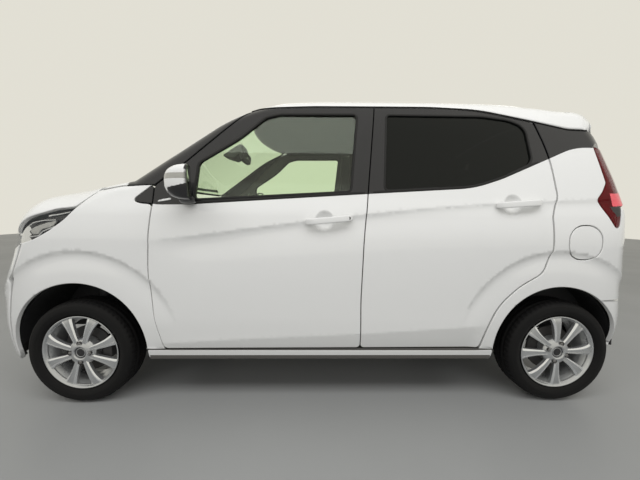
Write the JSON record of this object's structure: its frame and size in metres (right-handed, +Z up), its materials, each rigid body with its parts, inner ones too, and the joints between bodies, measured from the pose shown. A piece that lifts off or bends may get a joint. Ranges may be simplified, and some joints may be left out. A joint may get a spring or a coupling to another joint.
{
  "type": "small five-door town car",
  "caption": "Tall boxy small hatchback with opening doors, hood, tailgate and filler lid, steered front wheels and a hollow furnished cabin.",
  "frame": {"origin": "middle of the car's bounding box on the ground, under the tyres", "axes": "+X to the rear of the car, -Y its left side (the side in the picture), +Z up"},
  "size_m": [3.3948, 1.7506, 1.64],
  "materials": {
    "body_paint": "gloss clear-coated white",
    "structure": "satin black primer",
    "pillar_black": "smooth black film",
    "window_glass": "light green tint",
    "privacy_glass": "dark privacy tint",
    "tyre": "matt black",
    "wheel_alloy": "satin silver lacquer",
    "steel": "bare and zinc plated",
    "cast_iron": "cast, lightly painted",
    "tail_red": "deep red lens",
    "lamp_clear": "clear lens over reflectors",
    "mirror_shell": "white over black",
    "black_plastic": "grained black",
    "cabin_plastic": "grained dark grey",
    "seat_fabric": "woven grey-brown",
    "exhaust_steel": "heat-dulled"
  },
  "bodies": {
    "root": {"front_bumper": "body_paint", "grille": "black_plastic", "headlamps": "lamp_clear", "front_fenders": "body_paint", "windshield": "window_glass", "cowl": "black_plastic", "a_pillars": "pillar_black", "roof": "body_paint", "tail_lamps": "tail_red", "quarter_panels": "body_paint", "rear_bumper": "body_paint", "door_posts": "structure", "floor_pan": "structure", "firewall": "structure", "strut_towers": "structure", "arch_liners": "black_plastic", "dashboard": "cabin_plastic", "steering_column": "cabin_plastic", "front_seats": "seat_fabric", "rear_seat": "seat_fabric", "engine_block": "cast_iron", "radiator": "black_plastic", "front_subframe": "steel", "rear_axle": "steel", "fuel_tank": "black_plastic", "exhaust": "exhaust_steel"},
    "hood": {"hood": "body_paint"},
    "door_front_left": {"door_front_left": "body_paint", "glass_front_left": "window_glass", "mirror_left": "mirror_shell"},
    "door_front_right": {"door_front_right": "body_paint", "glass_front_right": "window_glass", "mirror_right": "mirror_shell"},
    "door_rear_left": {"door_rear_left": "body_paint", "glass_rear_left": "privacy_glass"},
    "door_rear_right": {"door_rear_right": "body_paint", "glass_rear_right": "privacy_glass"},
    "tailgate": {"tailgate": "body_paint", "tailgate_glass": "privacy_glass"},
    "fuel_lid": {"fuel_lid": "body_paint"},
    "knuckle_left": {"knuckle_left": "cast_iron", "strut_left": "steel"},
    "knuckle_right": {"knuckle_right": "cast_iron", "strut_right": "steel"},
    "steering_wheel": {"steering_wheel": "cabin_plastic"},
    "wheel_front_left": {"tyre_front_left": "tyre", "wheel_front_left": "wheel_alloy"},
    "wheel_front_right": {"tyre_front_right": "tyre", "wheel_front_right": "wheel_alloy"},
    "wheel_rear_left": {"tyre_rear_left": "tyre", "wheel_rear_left": "wheel_alloy"},
    "wheel_rear_right": {"tyre_rear_right": "tyre", "wheel_rear_right": "wheel_alloy"}
  },
  "joints": [
    {"name": "hood_hinge", "type": "hinge", "parent": "root", "child": "hood", "pos_m": [-1.069, 0, 1.11126], "axis": [0, 1, 0], "range_deg": [0, 50]},
    {"name": "tailgate_hinge", "type": "hinge", "parent": "root", "child": "tailgate", "pos_m": [1.3425, 0, 1.58437], "axis": [0, -1, 0], "range_deg": [0, 80]},
    {"name": "door_front_left_hinge", "type": "hinge", "parent": "root", "child": "door_front_left", "pos_m": [-0.7725, -0.722, 0.66], "axis": [0, 0, -1], "range_deg": [0, 70]},
    {"name": "door_front_right_hinge", "type": "hinge", "parent": "root", "child": "door_front_right", "pos_m": [-0.7725, 0.722, 0.66], "axis": [0, 0, 1], "range_deg": [0, 70]},
    {"name": "door_rear_left_hinge", "type": "hinge", "parent": "root", "child": "door_rear_left", "pos_m": [0.2815, -0.722, 0.66], "axis": [0, 0, -1], "range_deg": [0, 80]},
    {"name": "door_rear_right_hinge", "type": "hinge", "parent": "root", "child": "door_rear_right", "pos_m": [0.2815, 0.722, 0.66], "axis": [0, 0, 1], "range_deg": [0, 80]},
    {"name": "fuel_lid_hinge", "type": "hinge", "parent": "root", "child": "fuel_lid", "pos_m": [1.2865, -0.7365, 0.857], "axis": [0, 0, -1], "range_deg": [0, 85]},
    {"name": "steer_left", "type": "hinge", "parent": "root", "child": "knuckle_left", "pos_m": [-1.1975, -0.605, 0.19], "axis": [0, 0.1184, 0.993], "range_deg": [-35, 35]},
    {"name": "steer_right", "type": "hinge", "parent": "root", "child": "knuckle_right", "pos_m": [-1.1975, 0.605, 0.19], "axis": [0, -0.1184, 0.993], "range_deg": [-35, 35]},
    {"name": "steering_wheel_turn", "type": "hinge", "parent": "root", "child": "steering_wheel", "pos_m": [-0.4905, 0.345, 0.985], "axis": [0.9135, 0, 0.4067], "range_deg": [-525, 525]},
    {"name": "wheel_front_left_spin", "type": "hinge", "parent": "knuckle_left", "child": "wheel_front_left", "pos_m": [-1.1975, -0.65, 0.272], "axis": [0, 1, 0], "continuous": true},
    {"name": "wheel_front_right_spin", "type": "hinge", "parent": "knuckle_right", "child": "wheel_front_right", "pos_m": [-1.1975, 0.65, 0.272], "axis": [0, 1, 0], "continuous": true},
    {"name": "wheel_rear_left_spin", "type": "hinge", "parent": "root", "child": "wheel_rear_left", "pos_m": [1.2975, -0.645, 0.272], "axis": [0, 1, 0], "continuous": true},
    {"name": "wheel_rear_right_spin", "type": "hinge", "parent": "root", "child": "wheel_rear_right", "pos_m": [1.2975, 0.645, 0.272], "axis": [0, 1, 0], "continuous": true}
  ],
  "couplings": [
    {"joint": "steer_right", "follows": "steer_left", "ratio": 1},
    {"joint": "steering_wheel_turn", "follows": "steer_left", "ratio": 15}
  ]
}
